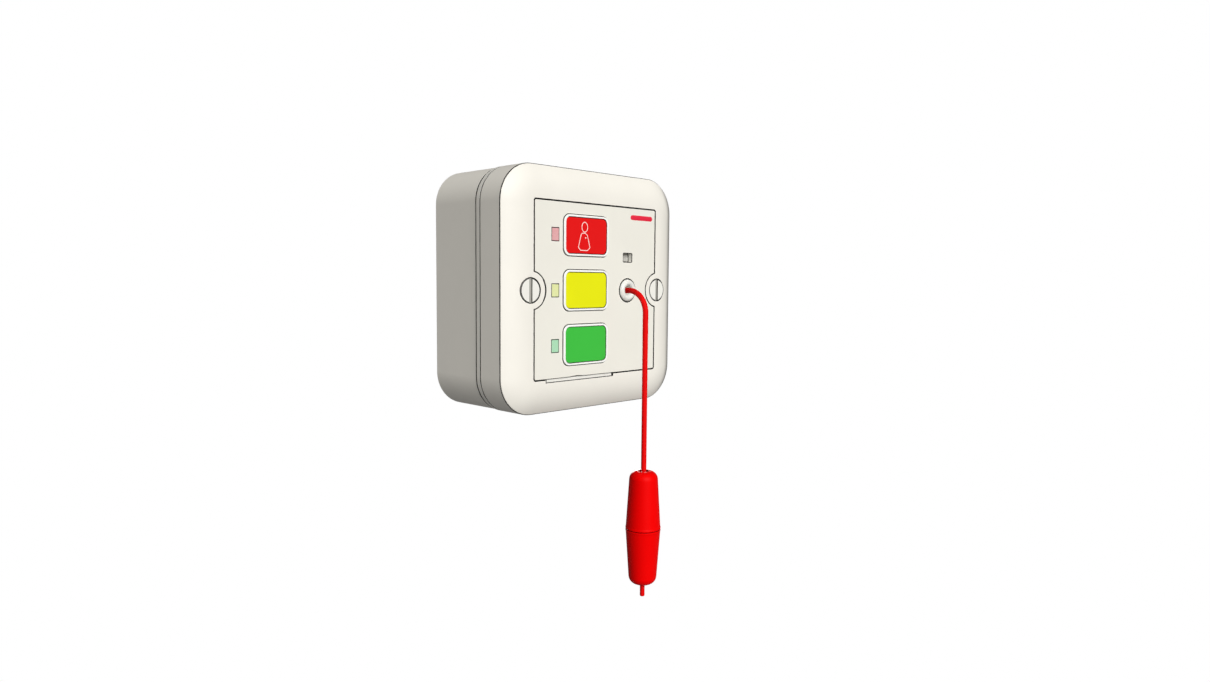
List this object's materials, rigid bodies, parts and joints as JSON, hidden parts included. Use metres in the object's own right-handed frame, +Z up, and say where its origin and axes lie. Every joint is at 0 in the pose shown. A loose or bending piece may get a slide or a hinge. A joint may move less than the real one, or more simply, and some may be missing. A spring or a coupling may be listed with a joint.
{
  "type": "pull cord switch",
  "caption": "Surface-mounted square call switch with coloured push buttons, small light windows and a red pull cord that hangs from the front plate and ends in a two-part handle.",
  "frame": {"origin": "middle of the wall box's rear face, in the plane of the wall", "axes": "+Y into the wall, so the buttons face -Y; +X to the right seen from the front; +Z up, and the cord hangs towards -Z"},
  "size_m": [0.0802, 0.0531, 0.1486],
  "materials": {
    "box_shell": "fine satin, warm white",
    "frame_shell": "smooth satin, warm white",
    "plate_white": "fine satin, warm white",
    "carrier_white": "satin, pale grey-white",
    "screw_white": "smooth, warm white",
    "cap_white": "smooth, near white",
    "inlay_red": "smooth, bright red",
    "inlay_yellow": "smooth, bright yellow",
    "inlay_green": "smooth, bright green",
    "lens_red": "translucent pink",
    "lens_yellow": "translucent pale yellow",
    "lens_green": "translucent pale green",
    "port_grey": "smooth, mid grey",
    "black_rubber": "matt black",
    "zinc_steel": "bright zinc plate",
    "board_green": "solder mask green",
    "black_plastic": "moulded black",
    "led_body": "clear-white package",
    "terminal_green": "moulded green",
    "guide_grey": "moulded grey",
    "puller_white": "natural acetal",
    "bushing_white": "smooth acetal, white",
    "cord_red": "smooth-woven cord, red",
    "handle_red": "smooth, bright red"
  },
  "bodies": {
    "housing": {"back_box": "box_shell", "cable_grommet": "black_rubber", "mounting_frame": "carrier_white", "box_screw_top": "zinc_steel", "box_screw_bottom": "zinc_steel", "board_screw_left": "zinc_steel", "board_screw_right": "zinc_steel", "front_frame": "frame_shell", "front_plate": "plate_white", "release_tab": "screw_white", "cover_screw_left": "screw_white", "cover_screw_right": "screw_white", "circuit_board": "board_green", "tact_switch_top": "black_plastic", "tact_switch_middle": "black_plastic", "tact_switch_bottom": "black_plastic", "window_top": "lens_red", "window_middle": "lens_yellow", "window_bottom": "lens_green", "led_top": "led_body", "led_middle": "led_body", "led_bottom": "led_body", "port_insert": "port_grey", "control_chip": "black_plastic", "terminal_block": "terminal_green", "microswitch": "black_plastic", "pull_guide": "guide_grey", "puller_spring": "zinc_steel", "cord_bushing": "bushing_white"},
    "top_button": {"button_top": "cap_white", "inlay_top": "inlay_red", "tact_plunger_top": "black_plastic"},
    "middle_button": {"button_middle": "cap_white", "inlay_middle": "inlay_yellow", "tact_plunger_middle": "black_plastic"},
    "bottom_button": {"button_bottom": "cap_white", "inlay_bottom": "inlay_green", "tact_plunger_bottom": "black_plastic"},
    "puller": {"puller": "puller_white", "cord_inner": "cord_red"},
    "lever": {"switch_lever": "zinc_steel"},
    "cord_elbow": {"cord_bend": "cord_red"},
    "cord_hanging": {"cord_upper": "cord_red"},
    "pull_handle": {"cord_lower": "cord_red", "handle_upper": "handle_red", "handle_lower": "handle_red"}
  },
  "joints": [
    {"name": "press_top", "type": "slide", "parent": "housing", "child": "top_button", "axis": [0, 1, 0], "range_m": [0, 0.0006], "stiffness_N_per_m": 300, "springref_m": -0.0004},
    {"name": "press_middle", "type": "slide", "parent": "housing", "child": "middle_button", "axis": [0, 1, 0], "range_m": [0, 0.0006], "stiffness_N_per_m": 300, "springref_m": -0.0004},
    {"name": "press_bottom", "type": "slide", "parent": "housing", "child": "bottom_button", "axis": [0, 1, 0], "range_m": [0, 0.0006], "stiffness_N_per_m": 300, "springref_m": -0.0004},
    {"name": "cord_swing_side", "type": "hinge", "parent": "housing", "child": "cord_elbow", "pos_m": [0.0143, -0.0395, -0.0001], "axis": [0, 1, 0], "range_deg": [-35, 35]},
    {"name": "cord_swing_out", "type": "hinge", "parent": "cord_elbow", "child": "cord_hanging", "pos_m": [0.0143, -0.04695, -0.0067], "axis": [-1, 0, 0], "range_deg": [-12, 60]},
    {"name": "pull", "type": "slide", "parent": "cord_hanging", "child": "pull_handle", "axis": [0, 0, -1], "range_m": [0, 0.004], "stiffness_N_per_m": 150, "springref_m": -0.004},
    {"name": "puller_slide", "type": "slide", "parent": "housing", "child": "puller", "axis": [0, -1, 0], "range_m": [0, 0.004], "deforming": ["puller_spring"]},
    {"name": "lever_tilt", "type": "hinge", "parent": "housing", "child": "lever", "pos_m": [-0.0055, -0.02135, 0], "axis": [0, 0, -1], "range_deg": [0, 17.2]}
  ],
  "couplings": [
    {"joint": "puller_slide", "follows": "pull", "ratio": 1},
    {"joint": "lever_tilt", "follows": "pull", "rad_per_m": 74.622}
  ]
}
